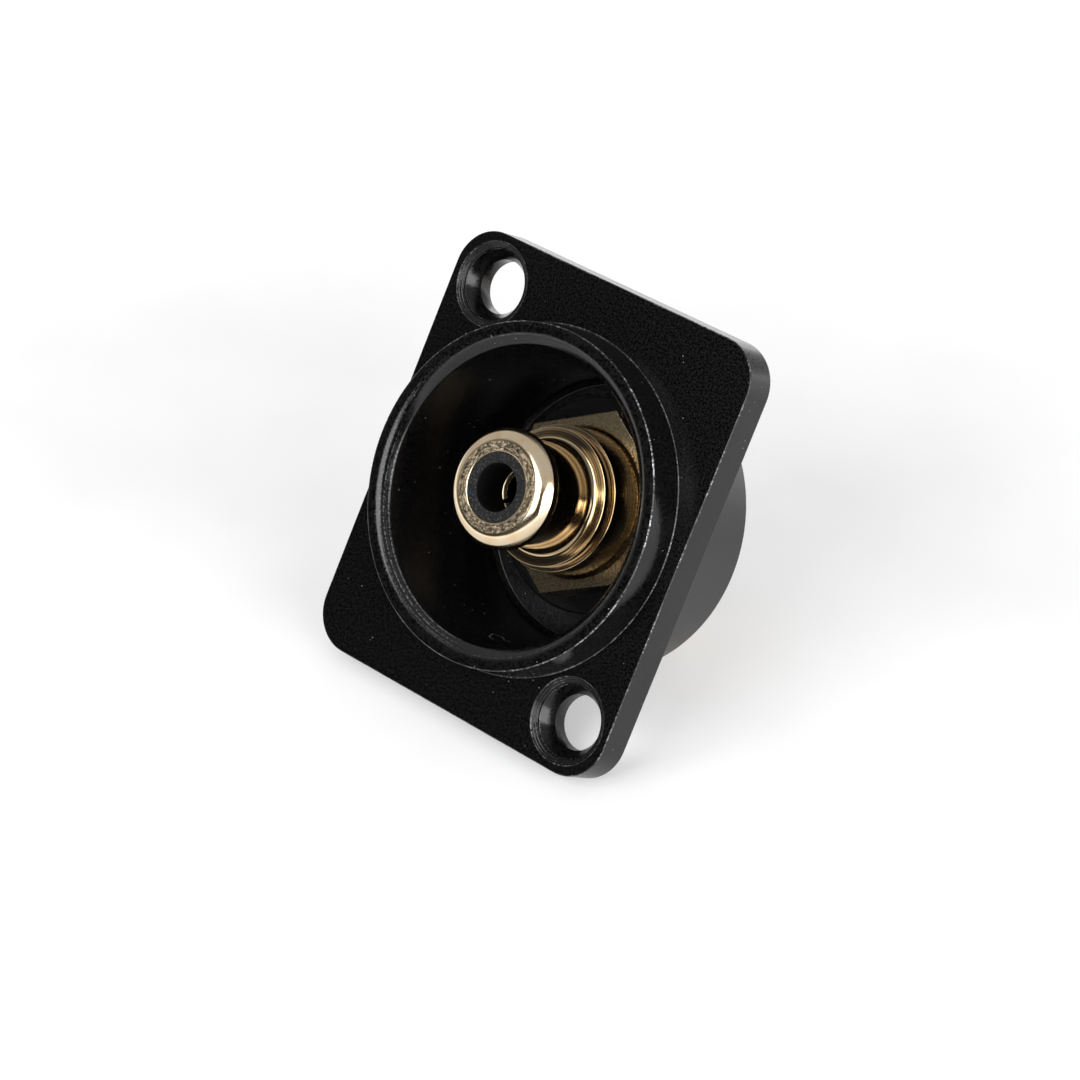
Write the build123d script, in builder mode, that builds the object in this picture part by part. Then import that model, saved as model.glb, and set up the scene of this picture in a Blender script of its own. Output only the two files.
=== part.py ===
# Recessed RCA (phono) panel socket: a black square-flanged cup that carries a gold socket
# between two insulating shoulder washers, with its solder tag, lock washer and nut behind
# the cup's floor. Millimetres. +X is right, +Z is up the flange and the front faces -Y.
# The origin is the middle of the flange's back face, which lies on the panel.
from build123d import *
import math
import os

# Flange
flange_width = 26.0
flange_height = 31.0
flange_thickness = 2.46
flange_corner_radius = 3.0

# Two fixing holes on one diagonal of the flange, with a turned step inside each countersink
hole_edge_distance = 3.5
hole_radius = 1.88
countersink_radius = 2.93
countersink_depth = 1.32
countersink_step_width = 0.15
countersink_step_depth = 0.12

# Raised front rim, bore and cup
rim_height = 2.52
rim_wall = 1.57
rim_taper = 0.21
rim_chamfer_width = 0.66
rim_chamfer_depth = 0.58
bore_mouth_radius = 10.16
bore_floor_radius = 9.19
cup_panel_step = 0.09
cup_rear_wall = 1.61
cup_rear_chamfer = 0.4
cup_depth = 8.0
floor_thickness = 1.91

# Socket shell, turned and milled from one bar: head, neck, collar, hexagon and barrel
socket_rise = 0.42
head_radius = 4.05
head_length = 1.9
head_land_length = 0.4
head_face_radius = 3.06
lip_length = 1.2
neck_radius = 3.66
neck_length = 3.91
neck_root_chamfer = 0.5
collar_length = 3.69
collar_face_slope = 0.1
collar_ring_radius = 4.77
collar_ring_length = 0.66
collar_groove_width = 0.14
collar_groove_depth = 0.15
collar_radius = 5.04
collar_root_chamfer = 0.25
hex_recess_radius = 5.3
hex_land = 0.63
hex_thickness = 1.6
hex_turn = 28.95
hex_recess_depth = 0.08
hex_arris = 0.07
barrel_radius = 4.72
barrel_length = 9.8
barrel_end_chamfer = 0.35
shell_bore_radius = 3.1

# Insulators inside the shell
pin_hole_radius = 1.63
pin_hole_edge = 0.12
insulator_recess = 0.03
front_insulator_length = 11.0
bush_flange_radius = 4.2
bush_flange_length = 0.8

# Centre contact, with four sprung fingers that grip the plug's pin and a solder cup behind
contact_set_back = 3.0
contact_radius = 1.95
contact_bore_radius = 1.6
contact_mouth_radius = 1.42
contact_mouth_length = 0.6
contact_mouth_chamfer = 0.14
contact_bore_length = 12.4
contact_slot_width = 0.3
contact_slot_length = 7.0
contact_slot_count = 2
contact_slot_turn = 45.0
contact_collar_radius = 2.7
contact_collar_length = 1.0
contact_tail_length = 8.9
contact_tail_radius = 1.25
solder_cup_radius = 0.8
solder_cup_depth = 3.2
solder_cup_opening = 2.4

# Insulating shoulder washers, one on each side of the cup's floor
washer_radius = 7.5
front_washer_thickness = 1.45
rear_washer_thickness = 1.0
shoulder_wall = 0.8
shoulder_length = 0.85

# Solder tag
tag_thickness = 0.5
tag_ring_radius = 6.7
tag_width = 3.2
tag_flat_reach = 9.6
tag_bend_radius = 0.6
tag_bend_angle = 55.0
tag_tail_length = 3.6
tag_eye_radius = 0.75
tag_turn = 118.0

# Internal-tooth lock washer and nut
lock_washer_thickness = 0.6
lock_washer_radius = 6.9
lock_washer_band = 1.0
lock_tooth_count = 12
lock_tooth_width = 1.3
nut_wall = 1.24
nut_thickness = 2.2
nut_turn = 10.0
nut_corner_drop = 0.35
hex_sides = 6

# Clearances between mating pieces
slip_gap = 0.05
thread_gap = 0.04

# Places that follow from the sizes, as distances along Y
flange_front = -flange_thickness
rim_front = flange_front - rim_height
floor_front = cup_depth - floor_thickness
hex_back = floor_front - front_washer_thickness
hex_front = hex_back - hex_thickness
collar_front = hex_front - collar_length
neck_front = collar_front - neck_length
shell_front = neck_front - head_length
barrel_end = hex_back + barrel_length
lip_back = shell_front + lip_length
insulator_front = shell_front + insulator_recess
insulator_back = insulator_front + front_insulator_length
contact_front = shell_front + contact_set_back
contact_collar_front = insulator_back - contact_collar_length
contact_body_back = contact_front + contact_bore_length
contact_end = contact_body_back + contact_tail_length
tag_front = cup_depth + rear_washer_thickness
lock_front = tag_front + tag_thickness
nut_front = lock_front + lock_washer_thickness

# Radii that follow from the wall they stand on or the piece they fit
rim_mouth_radius = bore_mouth_radius + rim_chamfer_width
rim_front_radius = bore_mouth_radius + rim_wall
rim_base_radius = rim_front_radius + rim_taper
cup_panel_radius = rim_base_radius - cup_panel_step
cup_rear_radius = bore_floor_radius + cup_rear_wall
shell_mouth_radius = (pin_hole_radius + head_face_radius) / 2 + slip_gap
hex_flat_radius = hex_recess_radius + hex_land
washer_bore_radius = barrel_radius + slip_gap
nut_bore_radius = barrel_radius + thread_gap
nut_flat_radius = nut_bore_radius + nut_wall
shoulder_radius = washer_bore_radius + shoulder_wall
floor_hole_radius = shoulder_radius + slip_gap

# Profiles are drawn as (radius, Y) and turned about one of these two axes
cup_plane = Plane.XY
cup_axis = Axis.Y
socket_plane = Plane.XY.offset(socket_rise)
socket_axis = Axis((0, 0, socket_rise), (0, 1, 0))


def across_plane(y, turn=0.0):
    """A plane square to the socket's axis, facing the back, its x turned from +X towards +Z."""
    angle = math.radians(turn)
    x_dir = (math.cos(angle), 0, math.sin(angle))
    return Plane(origin=(0, y, socket_rise), x_dir=x_dir, z_dir=(0, 1, 0))


os.makedirs("parts", exist_ok=True)

# Housing: flange plate, tapered cup behind it and raised rim before it
hole_x = flange_width / 2 - hole_edge_distance
hole_z = flange_height / 2 - hole_edge_distance
with BuildPart() as housing:
    with BuildSketch(Plane.XZ):
        RectangleRounded(flange_width, flange_height, flange_corner_radius)
    extrude(amount=flange_thickness)
    with BuildSketch(cup_plane):
        with BuildLine():
            Polyline(
                (0, rim_front),
                (rim_front_radius, rim_front),
                (rim_base_radius, flange_front),
                (cup_panel_radius, 0),
                (cup_rear_radius, cup_depth),
                (0, cup_depth),
                close=True,
            )
        make_face()
        cup_rear_corner = vertices().sort_by(Axis.Y)[-2:].sort_by(Axis.X)[-1]
        chamfer(cup_rear_corner, cup_rear_chamfer)
    revolve(axis=cup_axis)
    with BuildSketch(cup_plane):
        with BuildLine():
            Polyline(
                (0, rim_front),
                (rim_mouth_radius, rim_front),
                (bore_mouth_radius, rim_front + rim_chamfer_depth),
                (bore_floor_radius, floor_front),
                (0, floor_front),
                close=True,
            )
        make_face()
    revolve(axis=cup_axis, mode=Mode.SUBTRACT)
    with BuildSketch(across_plane(floor_front)):
        Circle(floor_hole_radius)
    extrude(amount=floor_thickness, mode=Mode.SUBTRACT)
    # Each countersink starts with one fine step and ends as a cone on the plain hole
    step_floor = flange_front + countersink_step_depth
    for place in [(-hole_x, 0, hole_z), (hole_x, 0, -hole_z)]:
        with BuildSketch(Plane(origin=place, x_dir=(1, 0, 0), z_dir=(0, 0, 1))):
            with BuildLine():
                Polyline(
                    (0, 0),
                    (0, flange_front),
                    (countersink_radius, flange_front),
                    (countersink_radius, step_floor),
                    (countersink_radius - countersink_step_width, step_floor),
                    (hole_radius, flange_front + countersink_depth),
                    (hole_radius, 0),
                    close=True,
                )
            make_face()
        revolve(axis=Axis(place, (0, 1, 0)), mode=Mode.SUBTRACT)
housing.part.label = "housing"

# Socket shell: the polished head takes the plug's outer shell, the hexagon clamps the floor
head_round = head_radius - head_face_radius
land_end = shell_front + head_round + head_land_length
neck_end = collar_front - collar_face_slope - neck_root_chamfer
ring_end = collar_front + collar_ring_length
groove_end = ring_end + collar_groove_width
recess_floor = hex_front + hex_recess_depth
with BuildPart() as socket_shell:
    with BuildSketch(across_plane(hex_front, hex_turn)):
        RegularPolygon(hex_flat_radius, hex_sides, major_radius=False)
    extrude(amount=hex_thickness)
    chamfer(socket_shell.edges().group_by(Axis.Y)[0], hex_arris)
    with BuildSketch(across_plane(hex_front)):
        Circle(hex_recess_radius)
    extrude(amount=hex_recess_depth, mode=Mode.SUBTRACT)
    with BuildSketch(socket_plane):
        with BuildLine():
            Polyline(
                (shell_mouth_radius, lip_back),
                (shell_mouth_radius, shell_front),
                (head_face_radius, shell_front),
            )
            # The flat face rolls over in a quarter circle to the widest part of the head
            TangentArc(
                (head_face_radius, shell_front),
                (head_radius, shell_front + head_round),
                tangent=(1, 0),
            )
            Polyline(
                (head_radius, shell_front + head_round),
                (head_radius, land_end),
                (neck_radius, neck_front),
                (neck_radius, neck_end),
                (neck_radius + neck_root_chamfer, neck_end + neck_root_chamfer),
                (collar_ring_radius, collar_front),
                (collar_ring_radius, ring_end),
                (collar_ring_radius - collar_groove_depth, ring_end),
                (collar_ring_radius - collar_groove_depth, groove_end),
                (collar_radius, groove_end),
                (collar_radius, recess_floor - collar_root_chamfer),
                (collar_radius + collar_root_chamfer, recess_floor),
                (collar_radius + collar_root_chamfer, hex_back - hex_recess_depth),
                (barrel_radius, hex_back - hex_recess_depth),
                (barrel_radius, barrel_end - barrel_end_chamfer),
                (barrel_radius - barrel_end_chamfer, barrel_end),
                (shell_bore_radius, barrel_end),
                (shell_bore_radius, lip_back),
                (shell_mouth_radius, lip_back),
            )
        make_face()
    revolve(axis=socket_axis)
    # The bore is cleared through the milled hexagon
    with BuildSketch(across_plane(hex_front)):
        Circle(shell_bore_radius)
    extrude(amount=hex_thickness, mode=Mode.SUBTRACT)
socket_shell.part.label = "socket_shell"

# Front insulator: its nose shows inside the head and its rear holds the contact's collar
nose_radius = shell_mouth_radius - slip_gap
insulator_radius = shell_bore_radius - slip_gap
contact_room_radius = contact_radius + slip_gap
with BuildPart() as front_insulator:
    with BuildSketch(socket_plane):
        with BuildLine():
            Polyline(
                (pin_hole_radius, insulator_front),
                (nose_radius, insulator_front),
                (nose_radius, lip_back),
                (insulator_radius, lip_back),
                (insulator_radius, insulator_back),
                (contact_collar_radius + slip_gap, insulator_back),
                (contact_collar_radius + slip_gap, contact_collar_front),
                (contact_room_radius, contact_collar_front),
                (contact_room_radius, contact_front - slip_gap),
                (pin_hole_radius, contact_front - slip_gap),
                close=True,
            )
        make_face()
        hole_lip = vertices().group_by(Axis.Y)[0].sort_by(Axis.X)[0]
        chamfer(hole_lip, pin_hole_edge)
    revolve(axis=socket_axis)
front_insulator.part.label = "front_insulator"

# Rear insulator: a bush pressed into the barrel that shuts the contact in
with BuildPart() as rear_insulator:
    with BuildSketch(socket_plane):
        with BuildLine():
            Polyline(
                (contact_room_radius, insulator_back),
                (insulator_radius, insulator_back),
                (insulator_radius, barrel_end),
                (bush_flange_radius, barrel_end),
                (bush_flange_radius, barrel_end + bush_flange_length),
                (contact_tail_radius + slip_gap, barrel_end + bush_flange_length),
                (contact_tail_radius + slip_gap, contact_body_back + slip_gap),
                (contact_room_radius, contact_body_back + slip_gap),
                close=True,
            )
        make_face()
    revolve(axis=socket_axis)
rear_insulator.part.label = "rear_insulator"

# Centre contact: slotted tube, collar and a tail that ends in an open solder cup
mouth_end = contact_front + contact_mouth_length
with BuildPart() as centre_contact:
    with BuildSketch(socket_plane):
        with BuildLine():
            Polyline(
                (contact_mouth_radius, contact_front + contact_mouth_chamfer),
                (contact_mouth_radius + contact_mouth_chamfer, contact_front),
                (contact_radius, contact_front),
                (contact_radius, contact_collar_front),
                (contact_collar_radius, contact_collar_front),
                (contact_collar_radius, insulator_back),
                (contact_radius, insulator_back),
                (contact_radius, contact_body_back),
                (contact_tail_radius, contact_body_back),
                (contact_tail_radius, contact_end),
                (solder_cup_radius, contact_end),
                (solder_cup_radius, contact_end - solder_cup_depth),
                (0, contact_end - solder_cup_depth),
                (0, contact_body_back - contact_bore_radius),
                (contact_bore_radius, contact_body_back - contact_bore_radius),
                (contact_bore_radius, mouth_end + contact_mouth_chamfer),
                (contact_mouth_radius, mouth_end),
                close=True,
            )
        make_face()
    revolve(axis=socket_axis)
    with BuildSketch(across_plane(contact_front)):
        with PolarLocations(0, contact_slot_count, start_angle=contact_slot_turn, angular_range=180):
            Rectangle(2 * contact_collar_radius, contact_slot_width)
    extrude(amount=contact_slot_length, mode=Mode.SUBTRACT)
    with BuildSketch(across_plane(contact_end)):
        with Locations((0, contact_tail_radius)):
            Rectangle(2 * contact_tail_radius, 2 * contact_tail_radius)
    extrude(amount=-solder_cup_opening, mode=Mode.SUBTRACT)
centre_contact.part.label = "centre_contact"


# The two shoulder washers keep the shell off the cup, and share one profile
def shoulder_washer_outline(seat, thickness, inwards):
    """Half section of a washer on the floor's face at Y = seat. inwards is +1 or -1, into the hole."""
    outer = seat - inwards * thickness
    return [
        (washer_bore_radius, outer),
        (washer_radius, outer),
        (washer_radius, seat),
        (shoulder_radius, seat),
        (shoulder_radius, seat + inwards * shoulder_length),
        (washer_bore_radius, seat + inwards * shoulder_length),
    ]


with BuildPart() as front_shoulder_washer:
    with BuildSketch(socket_plane):
        with BuildLine():
            Polyline(*shoulder_washer_outline(floor_front, front_washer_thickness, 1), close=True)
        make_face()
    revolve(axis=socket_axis)
front_shoulder_washer.part.label = "front_shoulder_washer"

with BuildPart() as rear_shoulder_washer:
    with BuildSketch(socket_plane):
        with BuildLine():
            Polyline(*shoulder_washer_outline(cup_depth, rear_washer_thickness, -1), close=True)
        make_face()
    revolve(axis=socket_axis)
rear_shoulder_washer.part.label = "rear_shoulder_washer"

# Solder tag: a flat ring with one tail that bends away behind the cup
tag_back = tag_front + tag_thickness
tag_angle = math.radians(tag_bend_angle)
outer_bend_radius = tag_bend_radius + tag_thickness
tail_root = washer_bore_radius + tag_thickness
tail_out = Vector(math.cos(math.radians(tag_turn)), 0, math.sin(math.radians(tag_turn)))
tail_side = Vector(-math.sin(math.radians(tag_turn)), 0, math.cos(math.radians(tag_turn)))
tail_along = tail_out * math.cos(tag_angle) + Vector(0, 1, 0) * math.sin(tag_angle)
tail_normal = tail_out * -math.sin(tag_angle) + Vector(0, 1, 0) * math.cos(tag_angle)
bend_end_reach = tag_flat_reach + outer_bend_radius * math.sin(tag_angle)
bend_end_y = tag_front + outer_bend_radius * (1 - math.cos(tag_angle))
socket_centre = Vector(0, 0, socket_rise)
bend_end = socket_centre + tail_out * bend_end_reach + Vector(0, bend_end_y, 0)
eye_centre = bend_end + tail_along * (tag_tail_length - tag_width / 2)
with BuildPart() as solder_tag:
    with BuildSketch(across_plane(tag_front)):
        Circle(tag_ring_radius)
        Circle(washer_bore_radius, mode=Mode.SUBTRACT)
    extrude(amount=tag_thickness)
    # The tail's side outline is drawn as (reach, Y) and spread to the tag's width
    with BuildSketch(Plane(origin=socket_centre, x_dir=tail_out, z_dir=tail_side)):
        with BuildLine():
            front_run = Line((tail_root, tag_front), (tag_flat_reach, tag_front))
            front_bend = JernArc(front_run @ 1, (1, 0), outer_bend_radius, tag_bend_angle)
            front_tail = Line(front_bend @ 1, (front_bend @ 1) + (front_bend % 1) * tag_tail_length)
            back_run = Line((tail_root, tag_back), (tag_flat_reach, tag_back))
            back_bend = JernArc(back_run @ 1, (1, 0), tag_bend_radius, tag_bend_angle)
            back_tail = Line(back_bend @ 1, (back_bend @ 1) + (back_bend % 1) * tag_tail_length)
            Line(front_run @ 0, back_run @ 0)
            Line(front_tail @ 1, back_tail @ 1)
        make_face()
    extrude(amount=tag_width / 2, both=True)
    tail_end_edges = solder_tag.edges().filter_by(Axis(bend_end, tail_normal))
    fillet(tail_end_edges, tag_width / 2 - slip_gap)
    with BuildSketch(Plane(origin=eye_centre, z_dir=tail_normal)):
        Circle(tag_eye_radius)
    extrude(amount=tag_thickness, mode=Mode.SUBTRACT)
solder_tag.part.label = "solder_tag"

# Lock washer with teeth that reach in to the barrel
lock_band_radius = lock_washer_radius - lock_washer_band
lock_gap_width = 2 * math.pi * washer_bore_radius / lock_tooth_count - lock_tooth_width
lock_gap_length = 2 * (lock_band_radius - washer_bore_radius)
with BuildPart() as lock_washer:
    with BuildSketch(across_plane(lock_front)):
        Circle(lock_washer_radius)
        Circle(washer_bore_radius, mode=Mode.SUBTRACT)
        with PolarLocations(lock_band_radius - lock_gap_length / 2, lock_tooth_count):
            Rectangle(lock_gap_length, lock_gap_width, mode=Mode.SUBTRACT)
    extrude(amount=lock_washer_thickness)
lock_washer.part.label = "lock_washer"

# Nut, with its corners turned off on the outer face
nut_corner_radius = nut_flat_radius / math.cos(math.pi / hex_sides)
nut_back = nut_front + nut_thickness
with BuildPart() as hex_nut:
    with BuildSketch(across_plane(nut_front, nut_turn)):
        RegularPolygon(nut_flat_radius, hex_sides, major_radius=False)
        Circle(nut_bore_radius, mode=Mode.SUBTRACT)
    extrude(amount=nut_thickness)
    with BuildSketch(socket_plane):
        with BuildLine():
            Polyline(
                (0, nut_front),
                (nut_corner_radius, nut_front),
                (nut_corner_radius, nut_back - nut_corner_drop),
                (nut_flat_radius, nut_back),
                (0, nut_back),
                close=True,
            )
        make_face()
    revolve(axis=socket_axis, mode=Mode.INTERSECT)
hex_nut.part.label = "hex_nut"

export_step(housing.part, "parts/housing.step")
export_step(socket_shell.part, "parts/socket_shell.step")
export_step(front_insulator.part, "parts/front_insulator.step")
export_step(rear_insulator.part, "parts/rear_insulator.step")
export_step(centre_contact.part, "parts/centre_contact.step")
export_step(front_shoulder_washer.part, "parts/front_shoulder_washer.step")
export_step(rear_shoulder_washer.part, "parts/rear_shoulder_washer.step")
export_step(solder_tag.part, "parts/solder_tag.step")
export_step(lock_washer.part, "parts/lock_washer.step")
export_step(hex_nut.part, "parts/hex_nut.step")
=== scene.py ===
import math
import bpy
from mathutils import Matrix, Vector


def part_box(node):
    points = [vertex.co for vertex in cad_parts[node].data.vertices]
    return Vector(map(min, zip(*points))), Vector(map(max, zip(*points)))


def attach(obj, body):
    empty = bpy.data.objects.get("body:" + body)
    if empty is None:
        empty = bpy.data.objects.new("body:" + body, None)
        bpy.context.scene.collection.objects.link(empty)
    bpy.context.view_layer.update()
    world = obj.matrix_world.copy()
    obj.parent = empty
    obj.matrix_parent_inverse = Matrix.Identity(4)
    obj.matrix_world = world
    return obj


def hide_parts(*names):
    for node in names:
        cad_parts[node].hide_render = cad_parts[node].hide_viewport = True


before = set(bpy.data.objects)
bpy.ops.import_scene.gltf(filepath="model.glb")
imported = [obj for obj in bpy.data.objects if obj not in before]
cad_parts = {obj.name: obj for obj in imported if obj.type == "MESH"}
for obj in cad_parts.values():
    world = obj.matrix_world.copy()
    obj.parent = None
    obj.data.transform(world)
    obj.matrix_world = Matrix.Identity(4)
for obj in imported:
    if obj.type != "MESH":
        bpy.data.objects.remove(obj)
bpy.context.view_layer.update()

mm = 0.001
print("frame loaded:", ", ".join(sorted(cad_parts)))


# modelling helpers (all places in millimetres, +X right, +Z up, front faces -Y)

weldDistance = 0.0004 * mm     # points closer than this are merged
keptTurn = math.radians(20)    # a corner of an outline that turns less than this isn't rounded
past = 1.0                     # cutters reach this far past the faces they cut


def deselectAll():
    if bpy.context.object and bpy.context.object.mode != "OBJECT":
        bpy.ops.object.mode_set(mode="OBJECT")
    bpy.ops.object.select_all(action="DESELECT")


def makeActive(piece):
    deselectAll()
    piece.select_set(True)
    bpy.context.view_layer.objects.active = piece


def nameActive(name):
    piece = bpy.context.object
    piece.name = piece.data.name = name
    return piece


def applyPlace():
    bpy.ops.object.transform_apply(location=True, rotation=True, scale=True)


def mergeDoubles():
    bpy.ops.mesh.select_all(action="SELECT")
    bpy.ops.mesh.remove_doubles(threshold=weldDistance)


def faceOutwards():
    bpy.ops.mesh.select_all(action="SELECT")
    bpy.ops.mesh.normals_make_consistent(inside=False)


def applyModifier(piece, kind, settings):
    makeActive(piece)
    change = piece.modifiers.new(kind.lower(), kind)
    for key, value in settings.items():
        setattr(change, key, value)
    bpy.ops.object.modifier_apply(modifier=change.name)


def startVertex(name, location):
    # one vertex to pull an outline from, in edit mode
    deselectAll()
    bpy.ops.mesh.primitive_plane_add(size=mm, location=location)
    piece = nameActive(name)
    bpy.ops.object.mode_set(mode="EDIT")
    bpy.ops.mesh.select_mode(type="VERT")
    bpy.ops.mesh.select_all(action="SELECT")
    bpy.ops.mesh.merge(type="CENTER")
    return piece


def selectWhere(piece, test, kind="FACE"):
    # picks faces or edges by the middle of their corners, in mm, and leaves edit mode on
    bpy.ops.object.mode_set(mode="EDIT")
    bpy.ops.mesh.select_mode(type=kind)
    bpy.ops.mesh.select_all(action="DESELECT")
    bpy.ops.object.mode_set(mode="OBJECT")
    mesh = piece.data
    place = piece.matrix_world
    for item in (mesh.polygons if kind == "FACE" else mesh.edges):
        corners = [place @ mesh.vertices[i].co / mm for i in item.vertices]
        middle = sum(corners, Vector()) / len(corners)
        item.select = bool(test(middle, corners))
    bpy.ops.object.mode_set(mode="EDIT")


def arcPoints(centre, radius, startAngle, endAngle, count):
    # part of a circle in (radius, y), both ends included
    angles = [math.radians(startAngle + (endAngle - startAngle) * i / count) for i in range(count + 1)]
    return [(centre[0] + radius * math.cos(a), centre[1] + radius * math.sin(a)) for a in angles]


def softened(outline, softness, count=3):
    # rounds the corners of a closed outline; a third number on a point is its own radius
    result = []
    total = len(outline)
    for i, corner in enumerate(outline):
        here = Vector(corner[:2])
        before = Vector(outline[i - 1][:2]) - here
        after = Vector(outline[(i + 1) % total][:2]) - here
        turn = math.pi - before.angle(after)
        radius = corner[2] if len(corner) > 2 else softness
        onAxis = here.x < 1e-6
        if turn < keptTurn or radius == 0 or onAxis:
            result.append(tuple(here))
            continue
        room = 0.45 * min(before.length, after.length)
        reach = min(radius * math.tan(turn / 2), room)
        first = here + before.normalized() * reach
        last = here + after.normalized() * reach
        for step in range(count + 1):
            t = step / count
            point = first * (1 - t) ** 2 + here * (2 * t * (1 - t)) + last * t ** 2
            result.append(tuple(point))
    return result


def turnPiece(name, outline, axisHeight=0.0, steps=192, axisX=0.0):
    # a lathe job: one vertex is pulled along the half section (radius, y) and spun about the axis
    piece = startVertex(name, Vector((axisX + outline[0][0], outline[0][1], axisHeight)) * mm)
    points = outline + [outline[0]]
    for last, point in zip(points, points[1:]):
        move = ((point[0] - last[0]) * mm, (point[1] - last[1]) * mm, 0)
        bpy.ops.mesh.extrude_vertices_move(TRANSFORM_OT_translate={"value": move})
    mergeDoubles()
    bpy.ops.mesh.select_all(action="SELECT")
    centre = (axisX * mm, 0, axisHeight * mm)
    bpy.ops.mesh.spin(steps=steps, angle=2 * math.pi, center=centre, axis=(0, 1, 0))
    mergeDoubles()
    faceOutwards()
    bpy.ops.object.mode_set(mode="OBJECT")
    applyPlace()
    return piece


def addHexagon(name, flats, front, thickness, turn, axisHeight):
    # hexagonal bar stock with its corners at turn, turn + 60 and so on, from +X towards +Z
    deselectAll()
    middle = Vector((0, front + thickness / 2, axisHeight)) * mm
    bpy.ops.mesh.primitive_cylinder_add(
        vertices=6, radius=flats / math.sqrt(3) * mm, depth=thickness * mm,
        location=middle, rotation=(math.pi / 2, math.radians(90 - turn), 0))
    piece = nameActive(name)
    applyPlace()
    return piece


def addBlock(name, low, high):
    # a block between two corners
    deselectAll()
    middle = (Vector(low) + Vector(high)) / 2 * mm
    size = (Vector(high) - Vector(low)) * mm
    bpy.ops.mesh.primitive_cube_add(size=1, location=middle, scale=size)
    piece = nameActive(name)
    applyPlace()
    return piece


def removePiece(piece):
    mesh = piece.data
    bpy.data.objects.remove(piece)
    bpy.data.meshes.remove(mesh)


def combine(piece, tool, operation):
    # boolean with a cutter or a second body, which is used up
    applyModifier(piece, "BOOLEAN", {"operation": operation, "solver": "EXACT", "object": tool})
    removePiece(tool)


def softenEdges(piece, width, segments=2, angle=40):
    applyModifier(piece, "BEVEL", {
        "width": width * mm, "segments": segments, "limit_method": "ANGLE",
        "angle_limit": math.radians(angle), "use_clamp_overlap": False})


def finishPiece(piece, smoothAngle=30):
    makeActive(piece)
    applyPlace()
    bpy.ops.object.shade_smooth_by_angle(angle=math.radians(smoothAngle))
    # large flat faces keep their own direction beside rounded edges
    applyModifier(piece, "WEIGHTED_NORMAL", {"mode": "FACE_AREA", "weight": 100, "keep_sharp": True})
    return piece


def place(piece, node, slotName, material):
    # the piece stands for its CAD node and rides on the one body
    piece.data.materials.clear()
    piece.data.materials.append(material)
    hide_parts(node)
    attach(piece, "root")


# shader helpers

class Wire:
    # a socket of a shader tree that can be used in sums
    def __init__(self, tree, socket=None):
        self.tree = tree
        self.socket = socket

    def node(self, kind, settings=None, inputs=None, output=0):
        made = self.tree.nodes.new("ShaderNode" + kind)
        for key, value in (settings or {}).items():
            setattr(made, key, value)
        for key, value in (inputs or {}).items():
            if isinstance(value, Wire):
                self.tree.links.new(value.socket, made.inputs[key])
            else:
                made.inputs[key].default_value = value
        return Wire(self.tree, made.outputs[output])

    def sum(self, operation, *values):
        return self.node("Math", {"operation": operation}, dict(enumerate(values)))

    def __add__(self, other):
        return self.sum("ADD", self, other)

    def __radd__(self, other):
        return self.sum("ADD", other, self)

    def __sub__(self, other):
        return self.sum("SUBTRACT", self, other)

    def __rsub__(self, other):
        return self.sum("SUBTRACT", other, self)

    def __mul__(self, other):
        return self.sum("MULTIPLY", self, other)

    def __rmul__(self, other):
        return self.sum("MULTIPLY", other, self)

    def __truediv__(self, other):
        return self.sum("DIVIDE", self, other)

    def __pow__(self, other):
        return self.sum("POWER", self, other)

    def __abs__(self):
        return self.sum("ABSOLUTE", self)

    def most(self, other):
        return self.sum("MAXIMUM", self, other)

    def least(self, other):
        return self.sum("MINIMUM", self, other)

    def between(self, low, high):
        # 0 at low and 1 at high, smooth in between; low may be the larger
        settings = {"interpolation_type": "SMOOTHSTEP"}
        if low < high:
            return self.node("MapRange", settings, {0: self, 1: low, 2: high})
        return 1 - self.node("MapRange", settings, {0: self, 1: high, 2: low})

    def line(self, at, halfWidth):
        # 1 where the value is at, fading to 0 over halfWidth
        return abs(self - at).between(halfWidth, halfWidth * 0.35)

    def noise(self, scale, detail=3.0, roughness=0.55):
        return self.node("TexNoise", None, {
            "Vector": self, "Scale": scale, "Detail": detail, "Roughness": roughness})

    def dots(self, scale, size):
        # scattered round specks: cell centres closer than size
        cell = self.node("TexVoronoi", None, {"Vector": self, "Scale": scale})
        return cell.between(size, size * 0.5)

    def paint(self, first, second):
        # mixes two colours by this mask
        return self.node("Mix", {"data_type": "RGBA"}, {0: self, 6: first, 7: second}, 2)


def newFinish(name):
    # gives the material, the place on the piece in mm and the shader node
    material = bpy.data.materials.new(name)
    material.use_nodes = True
    tree = material.node_tree
    shader = next(n for n in tree.nodes if n.type == "BSDF_PRINCIPLED")
    start = Wire(tree)
    inMetres = start.node("TexCoord", None, None, "Object")
    inMm = inMetres.node("VectorMath", {"operation": "SCALE"}, {0: inMetres, "Scale": 1 / mm})
    return material, inMm, shader


def splitPlace(inMm, height=0.0):
    # x, y, z and the radius about an axis along Y at this height
    x, y, z = [inMm.node("SeparateXYZ", None, {0: inMm}, axis) for axis in range(3)]
    z = z - height
    radius = (x * x + z * z) ** 0.5
    return x, y, z, radius


def connect(shader, name, wire):
    wire.tree.links.new(wire.socket, shader.inputs[name])


def addBump(shader, height, strength, distance):
    inputs = {"Height": height, "Strength": strength, "Distance": distance * mm}
    bump = height.node("Bump", None, inputs, "Normal")
    connect(shader, "Normal", bump)


def setAll(shader, values):
    for name, value in values.items():
        shader.inputs[name].default_value = value


def nodeBox(node):
    low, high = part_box(node)
    return low / mm, high / mm


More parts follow.
